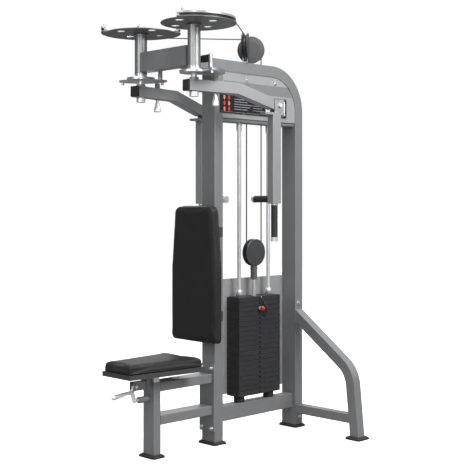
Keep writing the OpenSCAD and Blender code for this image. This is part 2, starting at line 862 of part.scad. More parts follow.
module selector_pin() {
    color("#b3202a") bar_x([plate_w / 2 + 8, stack_y, pin_z], 30, 26);
    color("#d8d9db") {
        bar_x([-plate_w / 2 + 6, stack_y, pin_z], 10, plate_w + 2);
        bar_x([plate_w / 2 + 0.5, stack_y, pin_z], 18, 8);
    }
}

// Short coiled lead that keeps the pin with the stack.
module pin_lanyard() {
    at = [plate_w / 2 + 1.5, stack_y + 34, pin_z + 22];
    color("#1c1c1d") difference() {
        bar_x(at, 48, 6);
        bar_x(at - [1, 0, 0], 36, 8);
    }
}

front_upright();
rear_arch();
cross_beam();
pivot_bushes();
base_beam();
seat_post();
seat_beams();
stabiliser_beam();
side_leg();
frame_bolts();
rubber_feet();
stop_bumpers();
rod_tie();
guide_rods();
stack_bumpers();
resting_plates();
cover_sheets();
placard();
pad_frame();
back_pad();
pulley_brackets();
pulley_shells();
upper_cables();
cable_drops();
cam_disc(1);  // right_cam_disc
cam_shaft(1);  // right_cam_shaft
sector(1);  // right_sector
cam_cable(1);  // right_cam_cable
cam_disc(-1);  // left_cam_disc
cam_shaft(-1);  // left_cam_shaft
sector(-1);  // left_sector
cam_cable(-1);  // left_cam_cable
arm(1);  // right_arm
arm_cap(1);  // right_arm_cap
arm(-1);  // left_arm
arm_cap(-1);  // left_arm_cap
pull_pin(1);  // right_pull_pin
pull_pin(-1);  // left_pull_pin
handle(1);  // right_handle
grips(1);  // right_grips
grip_caps(1);  // right_grip_caps
handle(-1);  // left_handle
grips(-1);  // left_grips
grip_caps(-1);  // left_grip_caps
upper_pulley(1);  // right_upper_pulley
upper_pulley(-1);  // left_upper_pulley
top_plate();
lifted_plates();
selector_stem();
pulley_yoke();
yoke_shells();
cable_loop();
floating_pulley();
selector_pin();
pin_lanyard();
seat_tube();
seat_board();
seat_cushion();
seat_lever();
lock_pin();
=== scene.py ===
"""Pec fly and rear delt machine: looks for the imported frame."""
import json
import math

import bmesh
import bpy
import numpy as np
from mathutils import Matrix, Vector


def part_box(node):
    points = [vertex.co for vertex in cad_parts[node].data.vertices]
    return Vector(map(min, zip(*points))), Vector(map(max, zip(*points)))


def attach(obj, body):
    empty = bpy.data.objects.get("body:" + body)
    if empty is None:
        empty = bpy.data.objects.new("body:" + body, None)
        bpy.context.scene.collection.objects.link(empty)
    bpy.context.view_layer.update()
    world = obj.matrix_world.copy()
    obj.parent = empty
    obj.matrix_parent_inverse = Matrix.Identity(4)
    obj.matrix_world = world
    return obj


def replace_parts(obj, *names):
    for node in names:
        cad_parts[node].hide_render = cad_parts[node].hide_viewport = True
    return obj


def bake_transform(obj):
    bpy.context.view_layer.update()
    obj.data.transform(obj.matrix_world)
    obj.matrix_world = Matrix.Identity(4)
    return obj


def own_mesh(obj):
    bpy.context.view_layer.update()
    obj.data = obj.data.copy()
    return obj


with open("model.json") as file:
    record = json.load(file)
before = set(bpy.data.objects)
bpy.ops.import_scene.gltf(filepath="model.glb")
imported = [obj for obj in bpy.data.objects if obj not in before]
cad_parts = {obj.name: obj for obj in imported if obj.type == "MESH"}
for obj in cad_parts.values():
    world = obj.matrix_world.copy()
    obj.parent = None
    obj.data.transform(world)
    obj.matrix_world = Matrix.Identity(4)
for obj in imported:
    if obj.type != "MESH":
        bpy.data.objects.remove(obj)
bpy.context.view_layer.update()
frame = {"nodes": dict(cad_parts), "record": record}
NODES = frame["nodes"]
SCENE = bpy.context.scene

LEAN = math.radians(8.3)            # angle of the arms off the Y axis, as seen from above
_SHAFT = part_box("right_cam_shaft")
PIVOT = ((_SHAFT[0].x + _SHAFT[1].x) / 2, (_SHAFT[0].y + _SHAFT[1].y) / 2)
HOUSING_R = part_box("cross_beam")[1].x - PIVOT[0]
CAM_RIM_R = 0.180                   # the cam's bright rim starts at this radius
CAM_RIM_STEP = 0.016                # and this far above the plate's underside
YOKE_BLOCK = 0.0875                 # the yoke's dark block starts this far above its lowest point
STRIPE = ((0.035, 1.845), (0.60, 1.900))    # corners of the pulley cover's plain stripe, Y and Z
ARM_END = 0.478                     # from the pivot to the end of an arm
ARM_HEIGHT = 1.760                  # centre line of that end above the floor
PAD_SHOULDER = 0.38                 # the back pad narrows from this height above its bottom
PAD_TOP_HALF = 0.1465               # half the back pad's width at the top
CLOTH_PRESSURE = 4.0
CLOTH_FRAMES = 20
PAD_VOXEL = 0.005


# ---------- camera, floor and light ----------

def add_camera():
    data = bpy.data.cameras.new("camera")
    data.sensor_width = 36.0
    data.lens = 78.5
    data.shift_y = -0.0553
    data.clip_end = 60.0
    cam = bpy.data.objects.new("camera", data)
    cam.location = (3.8556, -3.6546, 1.2376)
    cam.rotation_euler = (math.radians(90.0), 0.0, math.radians(45.4))
    SCENE.collection.objects.link(cam)
    SCENE.camera = cam


def area_light(name, place, target, size, power):
    data = bpy.data.lights.new(name, "AREA")
    data.shape = "RECTANGLE"
    data.size, data.size_y = size
    data.energy = power
    light = bpy.data.objects.new(name, data)
    light.location = place
    light.rotation_euler = (Vector(target) - Vector(place)).to_track_quat("-Z", "Y").to_euler()
    SCENE.collection.objects.link(light)


def add_world():
    """White to the camera, and a calm studio with a dark horizon to light and reflections."""
    world = bpy.data.worlds.new("studio")
    world.use_nodes = True
    tree = world.node_tree
    backdrop = tree.nodes["Background"]
    room = tree.nodes.new("ShaderNodeBackground")
    split = tree.nodes.new("ShaderNodeSeparateXYZ")
    ramp = tree.nodes.new("ShaderNodeValToRGB")
    paths = tree.nodes.new("ShaderNodeLightPath")
    mix = tree.nodes.new("ShaderNodeMixShader")
    coords = tree.nodes.new("ShaderNodeTexCoord")
    levels = [(0.0, 0.05), (0.12, 0.16), (0.45, 0.45), (1.0, 0.85)]
    while len(ramp.color_ramp.elements) < len(levels):
        ramp.color_ramp.elements.new(0.5)
    for element, (place, level) in zip(ramp.color_ramp.elements, levels):
        element.position = place
        element.color = (level, level, level * 1.01, 1.0)
    tree.links.new(coords.outputs["Generated"], split.inputs["Vector"])
    tree.links.new(split.outputs["Z"], ramp.inputs["Fac"])
    tree.links.new(ramp.outputs["Color"], room.inputs["Color"])
    tree.links.new(paths.outputs["Is Camera Ray"], mix.inputs["Fac"])
    tree.links.new(room.outputs["Background"], mix.inputs[1])
    tree.links.new(backdrop.outputs["Background"], mix.inputs[2])
    tree.links.new(mix.outputs["Shader"], tree.nodes["World Output"].inputs["Surface"])
    backdrop.inputs["Color"].default_value = (1.0, 1.0, 1.0, 1.0)
    SCENE.world = world
    SCENE.view_settings.view_transform = "Standard"


# ---------- materials ----------

class Shader:
    """A material under construction, with short calls for its usual nodes."""

    def __init__(self, name, rough=0.5, metal=0.0, **sockets):
        self.mat = bpy.data.materials.new(name)
        self.mat.use_nodes = True
        self.tree = self.mat.node_tree
        self.bsdf = self.tree.nodes["Principled BSDF"]
        self.bsdf.inputs["Roughness"].default_value = rough
        self.bsdf.inputs["Metallic"].default_value = metal
        for key, value in sockets.items():
            self.bsdf.inputs[key.replace("_", " ")].default_value = value
        self.coords = self.tree.nodes.new("ShaderNodeTexCoord").outputs["Object"]

    def node(self, kind, **values):
        made = self.tree.nodes.new(kind)
        for key, value in values.items():
            setattr(made, key, value)
        return made

    def link(self, source, target):
        self.tree.links.new(source, target)

    def stretched(self, scale):
        mapping = self.node("ShaderNodeMapping")
        mapping.inputs["Scale"].default_value = scale
        self.link(self.coords, mapping.inputs["Vector"])
        return mapping.outputs["Vector"]

    def noise(self, scale, detail=4.0, rough=0.55, vector=None):
        made = self.node("ShaderNodeTexNoise")
        made.inputs["Scale"].default_value = scale
        made.inputs["Detail"].default_value = detail
        made.inputs["Roughness"].default_value = rough
        self.link(vector or self.coords, made.inputs["Vector"])
        return made.outputs["Fac"]

    def cells(self, scale, feature="F1"):
        made = self.node("ShaderNodeTexVoronoi", feature=feature)
        made.inputs["Scale"].default_value = scale
        self.link(self.coords, made.inputs["Vector"])
        return made.outputs["Distance"]

    def ramp(self, source, stops):
        made = self.node("ShaderNodeValToRGB")
        ramp = made.color_ramp
        while len(ramp.elements) < len(stops):
            ramp.elements.new(0.5)
        for element, (place, color) in zip(ramp.elements, stops):
            element.position = place
            element.color = (*color, 1.0) if len(color) == 3 else color
        self.link(source, made.inputs["Fac"])
        return made.outputs["Color"]

    def span(self, source, low, high):
        made = self.node("ShaderNodeMapRange")
        made.inputs["To Min"].default_value = low
        made.inputs["To Max"].default_value = high
        self.link(source, made.inputs["Value"])
        return made.outputs["Result"]

    def mix(self, factor, first, second):
        made = self.node("ShaderNodeMix", data_type="RGBA")
        self.link(factor, made.inputs["Factor"])
        for source, socket in ((first, made.inputs["A"]), (second, made.inputs["B"])):
            if isinstance(source, tuple):
                socket.default_value = (*source, 1.0)
            else:
                self.link(source, socket)
        return made.outputs["Result"]

    def maths(self, operation, first, second):
        made = self.node("ShaderNodeMath", operation=operation)
        for source, socket in ((first, made.inputs[0]), (second, made.inputs[1])):
            if isinstance(source, (int, float)):
                socket.default_value = source
            else:
                self.link(source, socket)
        return made.outputs["Value"]

    def color(self, source):
        self.link(source, self.bsdf.inputs["Base Color"])

    def roughness(self, source):
        self.link(source, self.bsdf.inputs["Roughness"])

    def relief(self, source, strength, distance, edge=0.0):
        """Bump from a height, over edges rounded by a bevel of the given radius."""
        bump = self.node("ShaderNodeBump")
        bump.inputs["Strength"].default_value = strength
        bump.inputs["Distance"].default_value = distance
        self.link(source, bump.inputs["Height"])
        if edge:
            bevel = self.node("ShaderNodeBevel", samples=4)
            bevel.inputs["Radius"].default_value = edge
            self.link(bevel.outputs["Normal"], bump.inputs["Normal"])
        self.link(bump.outputs["Normal"], self.bsdf.inputs["Normal"])


def shades(base, spread):
    """Two colours a little darker and lighter than the base."""
    return tuple(c * (1 - spread) for c in base), tuple(min(1.0, c * (1 + spread)) for c in base)


def powder_coat(name, base, metal=0.35, rough=0.42):
    """Metallic powder coat: fine flake, orange peel, faint scuffs and handling marks."""
    made = Shader(name, rough, metal)
    dark, light = shades(base, 0.10)
    flake = made.ramp(made.noise(2600, 2), [(0.35, dark), (0.65, light)])
    grime = made.ramp(made.noise(5, 6, 0.7), [(0.40, (0.0, 0.0, 0.0)), (0.80, (0.35, 0.35, 0.35))])
    made.color(made.mix(grime, flake, dark))
    scuffs = made.noise(38, 8, 0.75, made.stretched((1.0, 1.0, 0.18)))
    made.roughness(made.span(scuffs, rough - 0.10, rough + 0.12))
    made.relief(made.noise(520, 3), 0.10, 0.0006, edge=0.0022)
    return made.mat


def polished(name, base=(0.88, 0.885, 0.895), rough=0.30, metal=0.62):
    """Chrome plating with hairline wipe marks and a faint haze."""
    made = Shader(name, rough, metal)
    dark, light = shades(base, 0.05)
    made.color(made.ramp(made.noise(14, 5), [(0.3, dark), (0.7, light)]))
    hairs = made.noise(40, 3, 0.5, made.stretched((1.0, 1.0, 0.2)))
    made.roughness(made.span(hairs, rough * 0.85, rough * 1.25))
    made.relief(made.noise(700, 2), 0.02, 0.0002)
    return made.mat


def plated(name, base=(0.62, 0.63, 0.65), rough=0.32):
    """Zinc plated steel with spangle and brushed lines."""
    made = Shader(name, rough, 0.95)
    dark, light = shades(base, 0.14)
    spangle = made.ramp(made.cells(160), [(0.1, dark), (0.9, light)])
    made.color(made.mix(made.noise(22, 5), spangle, light))
    brushed = made.noise(300, 3, 0.6, made.stretched((1.0, 14.0, 1.0)))
    made.roughness(made.span(brushed, rough - 0.10, rough + 0.14))
    made.relief(brushed, 0.06, 0.0003, edge=0.0012)
    return made.mat


def moulded_rubber(name, base=(0.018, 0.018, 0.019), grain=1400.0):
    made = Shader(name, 0.72, 0.0)
    dark, light = shades(base, 0.25)
    dust = made.noise(26, 6, 0.7)
    made.color(made.ramp(dust, [(0.30, dark), (0.75, light), (1.0, (0.05, 0.05, 0.048))]))
    made.roughness(made.span(dust, 0.60, 0.88))
    made.relief(made.noise(grain, 3), 0.22, 0.0005, edge=0.0020)
    return made.mat


def moulded_plastic(name, base, rough=0.45, grain=900.0):
    made = Shader(name, rough, 0.0)
    dark, light = shades(base, 0.12)
    made.color(made.ramp(made.noise(18, 6), [(0.3, dark), (0.7, light)]))
    made.roughness(made.span(made.noise(60, 5), rough - 0.09, rough + 0.10))
    made.relief(made.cells(grain), 0.10, 0.0003, edge=0.0012)
    return made.mat


def grained_vinyl(name, base=(0.013, 0.013, 0.0135)):
    """Upholstery vinyl: pebble grain in two sizes, soft creases and rubbed patches."""
    made = Shader(name, 0.56, 0.0, Specular_IOR_Level=0.32, Sheen_Weight=0.02, Sheen_Roughness=0.5)
    dark, light = shades(base, 0.18)
    rubbed = made.noise(6, 5, 0.6)
    made.color(made.ramp(rubbed, [(0.35, dark), (0.70, light)]))
    made.roughness(made.span(rubbed, 0.46, 0.64))
    pebbles = made.maths("MULTIPLY", made.cells(620), 0.7)
    fine = made.maths("MULTIPLY", made.noise(1500, 3), 0.25)
    creases = made.maths("MULTIPLY", made.noise(16, 3, 0.5), 0.5)
    made.relief(made.maths("ADD", made.maths("ADD", pebbles, fine), creases), 0.30, 0.0007)
    return made.mat


def hammered(name, base=(0.030, 0.030, 0.032)):
    """Cast plate paint with a light hammered skin."""
    made = Shader(name, 0.46, 0.25)
    dark, light = shades(base, 0.20)
    made.color(made.ramp(made.noise(45, 6, 0.65), [(0.3, dark), (0.75, light)]))
    made.roughness(made.span(made.noise(80, 4), 0.36, 0.58))
    made.relief(made.cells(320, "SMOOTH_F1"), 0.20, 0.0006, edge=0.0010)
    return made.mat


def cable_jacket(name):
    """Nylon jacket with the lay of the strands showing through."""
    made = Shader(name, 0.34, 0.0, Coat_Weight=0.25, Coat_Roughness=0.2)
    made.color(made.ramp(made.noise(140, 4), [(0.3, (0.018, 0.018, 0.018)), (0.8, (0.045, 0.045, 0.045))]))
    lay = made.node("ShaderNodeTexWave", wave_type="BANDS", bands_direction="DIAGONAL")
    lay.inputs["Scale"].default_value = 160.0
    made.link(made.coords, lay.inputs["Vector"])
    made.relief(lay.outputs["Fac"], 0.12, 0.0003)
    return made.mat


def box_mask(made, axes, low, high):
    """1 inside a rectangle on two object axes, in metres."""
    split = made.node("ShaderNodeSeparateXYZ")
    made.link(made.coords, split.inputs["Vector"])
    total = None
    for axis, a, b in zip(axes, low, high):
        inside = made.maths("MULTIPLY", made.maths("GREATER_THAN", split.outputs[axis], a),
                            made.maths("LESS_THAN", split.outputs[axis], b))
        total = inside if total is None else made.maths("MULTIPLY", total, inside)
    return total


def ring_mask(made, centre, radius, low):
    """1 farther than the radius from the axis at (+-x, y) of a mirrored pair, and above a height."""
    split = made.node("ShaderNodeSeparateXYZ")
    made.link(made.coords, split.inputs["Vector"])
    across = made.maths("SUBTRACT", made.maths("ABSOLUTE", split.outputs["X"], 0.0), centre[0])
    along = made.maths("SUBTRACT", split.outputs["Y"], centre[1])
    far = made.maths("ADD", made.maths("MULTIPLY", across, across), made.maths("MULTIPLY", along, along))
    outside = made.maths("GREATER_THAN", far, radius * radius)
    return made.maths("MULTIPLY", outside, made.maths("GREATER_THAN", split.outputs["Z"], low))


def cam_steel(name):
    """Dark cast plate with a turned and polished rim."""
    made = Shader(name, 0.4, 0.55)
    rim = ring_mask(made, PIVOT, CAM_RIM_R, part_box("right_cam_disc")[0].z + CAM_RIM_STEP)
    cast = made.ramp(made.noise(40, 6, 0.65), [(0.3, (0.14, 0.141, 0.143)), (0.75, (0.19, 0.191, 0.193))])
    bright = made.ramp(made.noise(9, 4), [(0.3, (0.40, 0.41, 0.42)), (0.7, (0.48, 0.49, 0.50))])
    made.color(made.mix(rim, cast, bright))
    scratches = made.noise(260, 4, 0.6)
    matt = made.span(scratches, 0.34, 0.52)
    made.roughness(made.maths("SUBTRACT", matt, made.maths("MULTIPLY", rim, 0.12)))
    made.relief(made.cells(300, "SMOOTH_F1"), 0.03, 0.0003, edge=0.0015)
    return made.mat


def yoke_steel(name):
    """Dark fork and block of the floating pulley, over bright threaded parts."""
    made = Shader(name, 0.36, 0.8)
    split = made.node("ShaderNodeSeparateXYZ")
    made.link(made.coords, split.inputs["Vector"])
    block = made.maths("GREATER_THAN", split.outputs["Z"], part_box("pulley_yoke")[0].z + YOKE_BLOCK)
    bright = made.ramp(made.noise(90, 4), [(0.3, (0.66, 0.67, 0.69)), (0.7, (0.80, 0.81, 0.83))])
    dark = made.ramp(made.noise(60, 5), [(0.3, (0.24, 0.242, 0.246)), (0.7, (0.31, 0.312, 0.316))])
    made.color(made.mix(block, bright, dark))
    made.roughness(made.span(made.noise(120, 4), 0.26, 0.46))
    made.relief(made.noise(400, 3), 0.05, 0.0003, edge=0.0012)
    return made.mat


def housing_paint(name):
    """The frame's powder coat, with the turned steel pivot housings left bare."""
    made = Shader(name, 0.42, 0.45)
    away = ring_mask(made, PIVOT, HOUSING_R + 0.0006, 0.0)
    dark, light = shades((0.235, 0.240, 0.245), 0.10)
    paint = made.ramp(made.noise(2600, 2), [(0.35, dark), (0.65, light)])
    turned = made.noise(60, 4, 0.6, made.stretched((0.4, 0.4, 30.0)))
    steel = made.ramp(turned, [(0.3, (0.33, 0.335, 0.345)), (0.7, (0.38, 0.385, 0.395))])
    made.color(made.mix(away, steel, paint))
    made.link(made.span(away, 0.80, 0.35), made.bsdf.inputs["Metallic"])
    worn = made.maths("ADD", made.maths("MULTIPLY", away, 0.7), made.maths("MULTIPLY", turned, 0.3))
    made.roughness(made.span(worn, 0.37, 0.48))
    made.relief(made.noise(520, 3), 0.04, 0.0004, edge=0.0010)
    return made.mat


def printed_plate(name, node):
    """The placard: black field, thin frame, red lozenges and plain grey bars, with no lettering."""
    low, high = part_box(node)
    made = Shader(name, 0.25, 0.0, Coat_Weight=0.4)
    y0, z0 = low.y, low.z
    length, h = high.y - low.y, high.z - low.z
    paint = made.mix(made.noise(30, 4), (0.010, 0.010, 0.012), (0.016, 0.016, 0.018))

    def patch(fill, a, b, c, d):
        """Fills from a to b in metres along the plate, and from c to d of its height."""
        nonlocal paint
        mask = box_mask(made, ("Y", "Z"), (y0 + a, z0 + c * h), (y0 + b, z0 + d * h))
        paint = made.mix(mask, paint, fill)

    patch((0.30, 0.30, 0.31), 0.004, length - 0.004, 0.05, 0.065)
    patch((0.30, 0.30, 0.31), 0.004, length - 0.004, 0.935, 0.95)
    for row in range(5):
        foot, head = 0.20 + 0.13 * row, 0.245 + 0.13 * row
        patch((0.22, 0.22, 0.23), 0.105, 0.105 + 0.10 + 0.018 * (row % 3), foot, head)
        patch((0.16, 0.16, 0.17), 0.245, 0.245 + 0.07 + 0.02 * ((row + 1) % 2), foot, head)
    patch((0.70, 0.70, 0.71), 0.345, length - 0.012, 0.12, 0.88)
    patch((0.42, 0.42, 0.43), 0.355, length - 0.030, 0.62, 0.70)
    patch((0.42, 0.42, 0.43), 0.355, length - 0.050, 0.44, 0.50)
    patch((0.42, 0.42, 0.43), 0.355, length - 0.040, 0.28, 0.34)
    split = made.node("ShaderNodeSeparateXYZ")
    made.link(made.coords, split.inputs["Vector"])
    for column in range(2):
        for row in range(3):
            across = made.maths("SUBTRACT", split.outputs["Y"], y0 + 0.032 + 0.034 * column)
            up = made.maths("SUBTRACT", split.outputs["Z"], z0 + (0.2 + 0.3 * row) * h)
            up = made.maths("MULTIPLY", up, 0.62)
            far = made.maths("ADD", made.maths("MULTIPLY", across, across), made.maths("MULTIPLY", up, up))
            tint = (0.48, 0.05, 0.04) if (row + column) % 2 else (0.55, 0.20, 0.15)
            paint = made.mix(made.maths("LESS_THAN", far, 0.0075 ** 2), paint, tint)
    made.color(paint)
    made.roughness(made.span(made.noise(40, 4), 0.20, 0.34))
    made.relief(made.noise(200, 3), 0.05, 0.0002, edge=0.0010)
    return made.mat


def cover_sheet(name):
    """Light painted sheet with a darker plain stripe along the top of the pulley cover."""
    made = Shader(name, 0.40, 0.30)
    base = made.ramp(made.noise(9, 6), [(0.3, (0.34, 0.345, 0.35)), (0.7, (0.38, 0.385, 0.39))])
    stripe = box_mask(made, ("Y", "Z"), *STRIPE)
    made.color(made.mix(stripe, base, (0.235, 0.24, 0.245)))
    made.roughness(made.span(made.noise(50, 5), 0.32, 0.50))
    made.relief(made.noise(480, 3), 0.08, 0.0005, edge=0.0010)
    return made.mat


def pale_floor():
    """Pale and faintly glowing to the camera, and darker to reflected and bounced light."""
    made = Shader("floor", 0.80, 0.0)
    pale = made.ramp(made.noise(1.2, 3), [(0.3, (0.84, 0.84, 0.84)), (0.7, (0.87, 0.87, 0.87))])
    seen = made.node("ShaderNodeLightPath").outputs["Is Camera Ray"]
    made.color(made.mix(seen, (0.26, 0.26, 0.26), pale))
    made.bsdf.inputs["Emission Color"].default_value = (1.0, 1.0, 1.0, 1.0)
    made.link(made.maths("MULTIPLY", seen, 0.55), made.bsdf.inputs["Emission Strength"])
    return made.mat


def paint_nodes():
    """One material for each slot of the record, on every CAD node of that slot."""
    made = {
        "frame_paint": powder_coat("frame_paint", (0.235, 0.240, 0.245)),
        "arm_paint": powder_coat("arm_paint", (0.300, 0.305, 0.310)),
        "chrome": polished("chrome"),
        "zinc": plated("zinc"),
        "cam_steel": cam_steel("cam_steel"),
        "rubber": moulded_rubber("rubber"),
        "grip_rubber": moulded_rubber("grip_rubber", (0.022, 0.022, 0.023), 2200.0),
        "upholstery": grained_vinyl("upholstery"),
        "pad_board": moulded_plastic("pad_board", (0.042, 0.042, 0.043), 0.55),
        "plates": hammered("plates"),
        "cable_jacket": cable_jacket("cable_jacket"),
        "pulley_nylon": moulded_plastic("pulley_nylon", (0.045, 0.046, 0.048), 0.40),
        "cover_sheet": cover_sheet("cover_sheet"),
        "placard": printed_plate("placard", "placard"),
        "red_knob": moulded_plastic("red_knob", (0.38, 0.018, 0.022), 0.28),
        "end_cap": moulded_plastic("end_cap", (0.020, 0.020, 0.021), 0.42),
    }
    own = {"cross_beam": housing_paint("frame_paint_housing"), "pulley_yoke": yoke_steel("zinc_yoke")}
    slots = {entry["node"]: entry["material_slot"] for entry in frame["record"]["subparts"]}
    for name, obj in NODES.items():
        obj.data.materials.clear()
        obj.data.materials.append(own.get(name) or made[slots[name]])
        for face in obj.data.polygons:
            face.material_index = 0
    return made


# ---------- measuring the frame ----------

def islands(node):
    """The separate solids of a CAD node, each as an array of its points."""
    bm = bmesh.new()
    bm.from_mesh(NODES[node].data)
    bmesh.ops.remove_doubles(bm, verts=bm.verts, dist=1e-6)
    left = set(bm.verts)
    groups = []
    while left:
        queue = [left.pop()]
        group = []
        while queue:
            vertex = queue.pop()
            group.append(tuple(vertex.co))
            for edge in vertex.link_edges:
                other = edge.other_vert(vertex)
                if other in left:
                    left.remove(other)
                    queue.append(other)
        groups.append(np.array(group))
    bm.free()
    return sorted(groups, key=lambda points: tuple(points.mean(0).round(4)))


def round_bar(points):
    """Centre, axis, length and radius of a long round solid."""
    centre = (points.min(0) + points.max(0)) / 2
    spread = points - points.mean(0)
    axis = np.linalg.svd(spread, full_matrices=False)[2][0]
    along = (points - centre) @ axis
    radius = np.linalg.norm((points - centre) - np.outer(along, axis), axis=1).max()
    return Vector(centre), Vector(axis), float(along.max() - along.min()), float(radius)


# ---------- mesh helpers ----------

def finish_piece(name, mesh, material, body, smooth=True):
    """Links a mesh as a piece with its material and the body it rides on."""
    obj = bpy.data.objects.new(name, mesh)
    SCENE.collection.objects.link(obj)
    mesh.materials.clear()
    mesh.materials.append(MATS[material])
    for face in mesh.polygons:
        face.use_smooth = smooth
    if body:
        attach(obj, body)
    return obj


def frame_at(origin, axis):
    """A matrix whose Z axis points along the given axis from the given origin."""
    turn = Vector(axis).normalized().to_track_quat("Z", "Y").to_matrix().to_4x4()
    return Matrix.Translation(Vector(origin)) @ turn


def lathe(name, profile, place, material, body, steps=48):
    """Turns (radius, height) points around the place's Z axis into a closed piece."""
    bm = bmesh.new()
    rings = []
    for radius, height in profile:
        if radius < 1e-6:
            rings.append([bm.verts.new((0.0, 0.0, height))])
            continue
        rings.append([bm.verts.new((radius * math.cos(2 * math.pi * i / steps),
                                    radius * math.sin(2 * math.pi * i / steps), height))
                      for i in range(steps)])
    for a, b in zip(rings, rings[1:]):
        for i in range(steps):
            j = (i + 1) % steps
            quad = [a[i % len(a)], a[j % len(a)], b[j % len(b)], b[i % len(b)]]
            corners = list(dict.fromkeys(quad))
            if len(corners) > 2:
                bm.faces.new(corners)
    if profile[0] == profile[-1]:
        bmesh.ops.remove_doubles(bm, verts=bm.verts, dist=1e-7)
    bmesh.ops.recalc_face_normals(bm, faces=bm.faces)
    mesh = bpy.data.meshes.new(name)
    bm.to_mesh(mesh)
    bm.free()
    mesh.transform(place)
    return finish_piece(name, mesh, material, body)


def sweep_points(bm, points, radius, sides):
    """Adds a round tube along the points to bm."""
    rings = []
    up = Vector((0.0, 0.0, 1.0))
    for before, p, after in zip(points[:1] + points, points, points[1:] + points[-1:]):
        along = (after - before).normalized()
        side = along.cross(up)
        if side.length < 0.05:
            side = along.cross(Vector((1.0, 0.0, 0.0)))
        side.normalize()
        lift = side.cross(along).normalized()
        up = lift
        rings.append([bm.verts.new(p + radius * (math.cos(2 * math.pi * k / sides) * side
                                                 + math.sin(2 * math.pi * k / sides) * lift))
                      for k in range(sides)])
    for a, b in zip(rings, rings[1:]):
        for k in range(sides):
            n = (k + 1) % sides
            bm.faces.new((a[k], a[n], b[n], b[k]))
    bm.faces.new(list(reversed(rings[0])))
    bm.faces.new(rings[-1])


def tube_piece(name, paths, radius, material, body, sides):
    """Round tubes along the paths, as one piece."""
    bm = bmesh.new()
    for points in paths:
        sweep_points(bm, [Vector(p) for p in points], radius, sides)
    bmesh.ops.recalc_face_normals(bm, faces=bm.faces)
    mesh = bpy.data.meshes.new(name)
    bm.to_mesh(mesh)
    bm.free()
    return finish_piece(name, mesh, material, body)


def hex_bolt(bm, place, across, height):
    """Washer and chamfered hexagon head standing on the place's XY plane."""
    def ring(radius, z, sides):
        return [bm.verts.new(place @ Vector((radius * math.cos(2 * math.pi * i / sides),
                                             radius * math.sin(2 * math.pi * i / sides), z)))
                for i in range(sides)]

    def skin(levels):
        for a, b in zip(levels, levels[1:]):
            for i in range(len(a)):
                j = (i + 1) % len(a)
                bm.faces.new((a[i], a[j], b[j], b[i]))
        bm.faces.new(list(reversed(levels[0])))
        bm.faces.new(levels[-1])

    washer = across * 0.72
    skin([ring(washer, 0.0, 32), ring(washer, 0.0012, 32), ring(washer - 0.0005, 0.0018, 32)])
    r = across / 2 / math.cos(math.pi / 6)
    skin([ring(r, 0.0018, 6), ring(r, height - 0.0012, 6), ring(r * 0.88, height, 6)])


def arm_point(side, across, along, height):
    """A point in the frame of one arm: metres across it, along it from the pivot, and above the floor."""
    x = PIVOT[0] + across * math.cos(LEAN) + along * math.sin(LEAN)
    y = PIVOT[1] - across * math.sin(LEAN) + along * math.cos(LEAN)
    return Vector((side * x, y, height))


def smooth_path(points, steps):
    """A Catmull-Rom curve through the given points."""
    p = [Vector(point) for point in points]
    p = [2 * p[0] - p[1]] + p + [2 * p[-1] - p[-2]]
    out = []
    for a, b, c, d in zip(p, p[1:], p[2:], p[3:]):
        for k in range(steps):
            t = k / steps
            out.append(0.5 * (2 * b + (c - a) * t + (2 * a - 5 * b + 4 * c - d) * t ** 2
                              + (3 * b - a - 3 * c + d) * t ** 3))
    return out + [p[-2]]


# ---------- hardware ----------

def bolts():
    """Washers and hexagon heads in place of the frame's plain bolts."""
    bm = bmesh.new()
    for points in islands("frame_bolts"):
        low, high = points.min(0), points.max(0)
        size = high - low
        middle = (low + high) / 2
        if size[1] < size[0]:
            place = frame_at((middle[0], high[1], middle[2]), (0, -1, 0))
            hex_bolt(bm, place, across=size[0] * 0.80, height=size[1])
        else:
            place = frame_at((low[0], middle[1], middle[2]), (1, 0, 0))
            hex_bolt(bm, place, across=size[1] * 0.80, height=size[0])
    bmesh.ops.recalc_face_normals(bm, faces=bm.faces)
    mesh = bpy.data.meshes.new("hex_bolts")
    bm.to_mesh(mesh)
    bm.free()
    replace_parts(finish_piece("hex_bolts", mesh, "zinc", "frame", smooth=False), "frame_bolts")


def ribbed_grip(name, points, body):
    """A grip sleeve with fine moulded rings and a plain lip at each end."""
    centre, axis, length, radius = round_bar(points)
    pitch, lip, depth, bore = 0.0030, 0.006, 0.0007, 0.0105
    profile = [(bore, 0.0), (radius - 0.0012, 0.0), (radius, 0.0012), (radius, lip)]
    rings = int((length - 2 * lip) / pitch)
    for i in range(rings):
        z = lip + pitch * i
        profile += [(radius - depth, z + 0.0006), (radius - depth, z + 0.0012),
                    (radius, z + 0.0018), (radius, z + pitch)]
    profile += [(radius, length - 0.0012), (radius - 0.0012, length), (bore, length), (bore, 0.0)]
    place = frame_at(centre - axis * (length / 2), axis)
    return lathe(name, profile, place, "grip_rubber", body, steps=40)


def grips():
    """Ribbed sleeves in place of the plain grips of both handles."""
    for side in ("right", "left"):
        for i, points in enumerate(islands(side + "_grips")):
            piece = ribbed_grip(f"{side}_grip_sleeve_{i + 1}", points, side + "_handle_unit")
            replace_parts(piece, side + "_grips")


def drop_cables():
    """The two runs over the stack, which shorten as the stack lifts."""
    low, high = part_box("cable_drops")
    paths = []
    for points in islands("cable_drops"):
        x, y = points[:, 0].mean(), points[:, 1].mean()
        paths.append([(x, y, low.z + (high.z - low.z) * k / 8) for k in range(9)])
    cables = tube_piece("drop_cables", paths, 0.0033, "cable_jacket", "frame", sides=16)
    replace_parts(cables, "cable_drops")
    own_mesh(cables)


